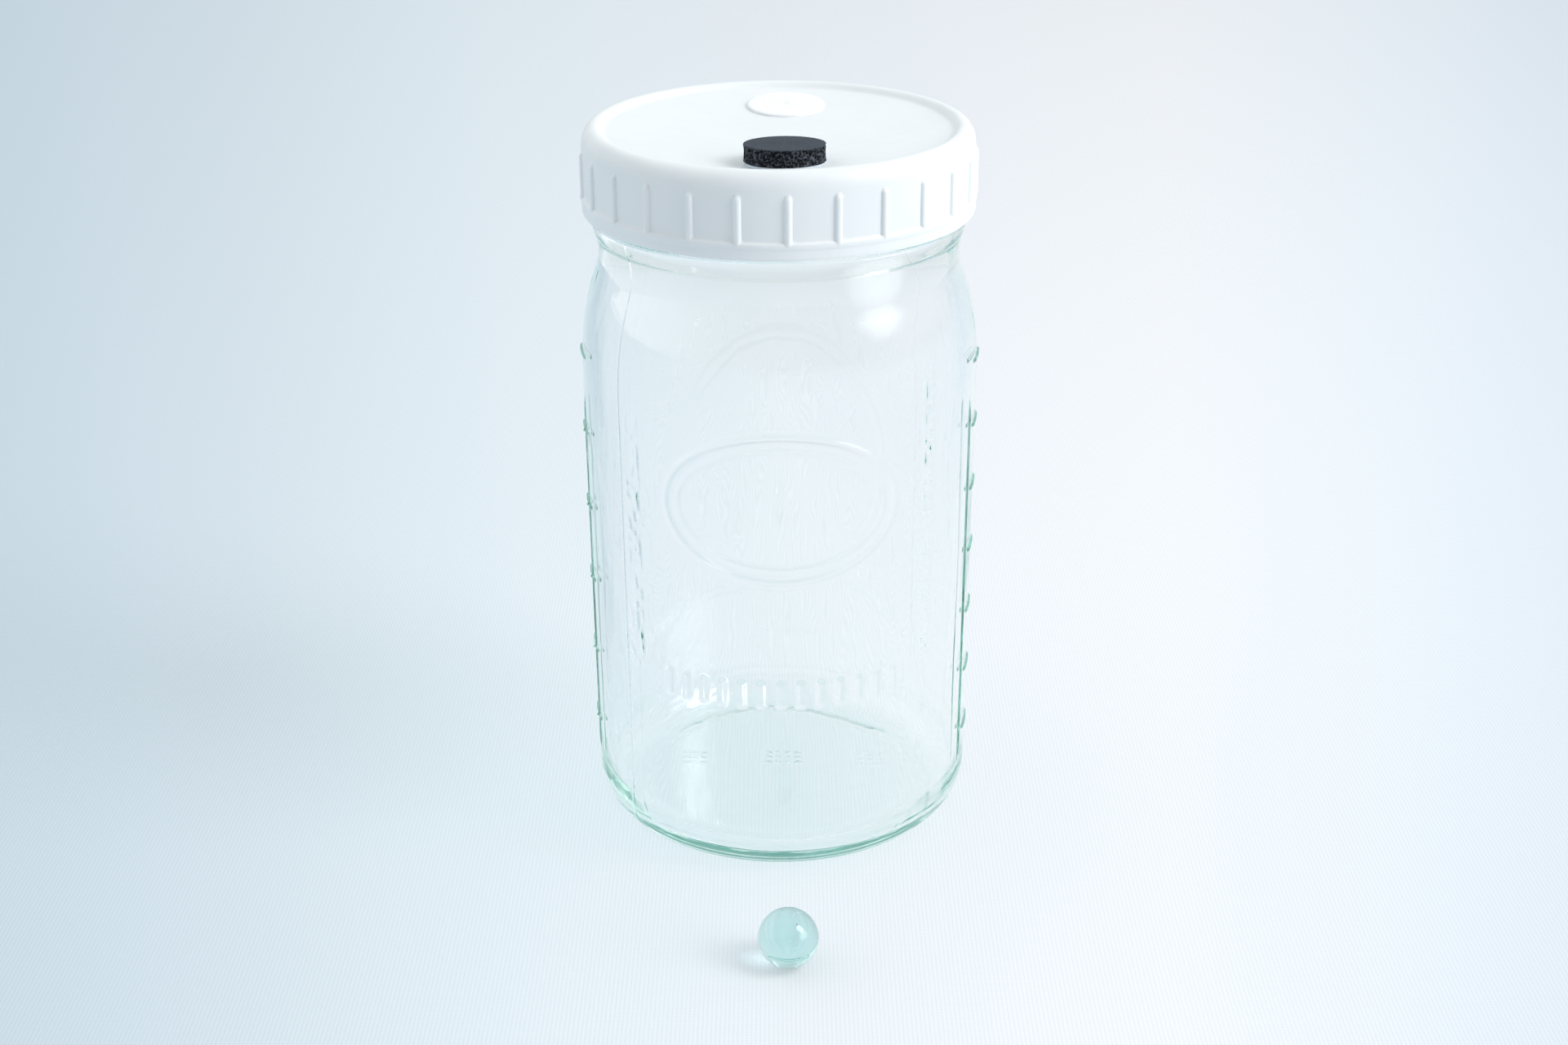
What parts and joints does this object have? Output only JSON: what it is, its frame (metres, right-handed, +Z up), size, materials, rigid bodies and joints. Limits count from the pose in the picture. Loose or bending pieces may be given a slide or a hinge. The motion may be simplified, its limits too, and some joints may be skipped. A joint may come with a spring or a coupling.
{
  "type": "culture jar with screw lid",
  "caption": "Round wide-mouth glass jar with a ribbed screw lid that carries a rubber injection port and a filter disc, and a loose glass stirring marble.",
  "frame": {"origin": "on the jar's axis, level with the surface it stands on, just under the middle of its recessed base", "axes": "+Z up the jar's axis, -Y towards the front with the injection port and the marble, +X to the viewer's right"},
  "size_m": [0.0968, 0.1377, 0.1789],
  "materials": {
    "clear_glass": "clear, very slightly green, fire-polished",
    "white_plastic": "satin moulded white",
    "seal_silicone": "matte translucent white",
    "black_foam_rubber": "matte skin over open cells",
    "port_film": "thin reddish brown adhesive film",
    "filter_paper": "matte white felted disc",
    "filter_film": "thin adhesive ring",
    "marble_glass": "clear pale aqua with small bubbles"
  },
  "bodies": {
    "jar": {"glass_jar": "clear_glass"},
    "seal": {"seal_ring": "seal_silicone"},
    "lid": {"screw_lid": "white_plastic", "injection_port": "black_foam_rubber", "port_adhesive": "port_film", "filter_disc": "filter_paper", "filter_adhesive": "filter_film"},
    "marble": {"stirring_marble": "marble_glass"}
  },
  "joints": [
    {"name": "lid_lift", "type": "slide", "parent": "jar", "child": "seal", "axis": [0, 0, 1], "range_m": [0, 0.016]},
    {"name": "lid_turn", "type": "hinge", "parent": "seal", "child": "lid", "pos_m": [0, 0, 0.1563], "axis": [0, 0, 1], "range_deg": [0, 900]},
    {"name": "marble_lift", "type": "slide", "parent": "jar", "child": "marble", "axis": [0, 0, 1], "range_m": [0, 0.19]}
  ],
  "couplings": [
    {"joint": "lid_lift", "follows": "lid_turn", "m_per_rad": 0.0010106}
  ]
}
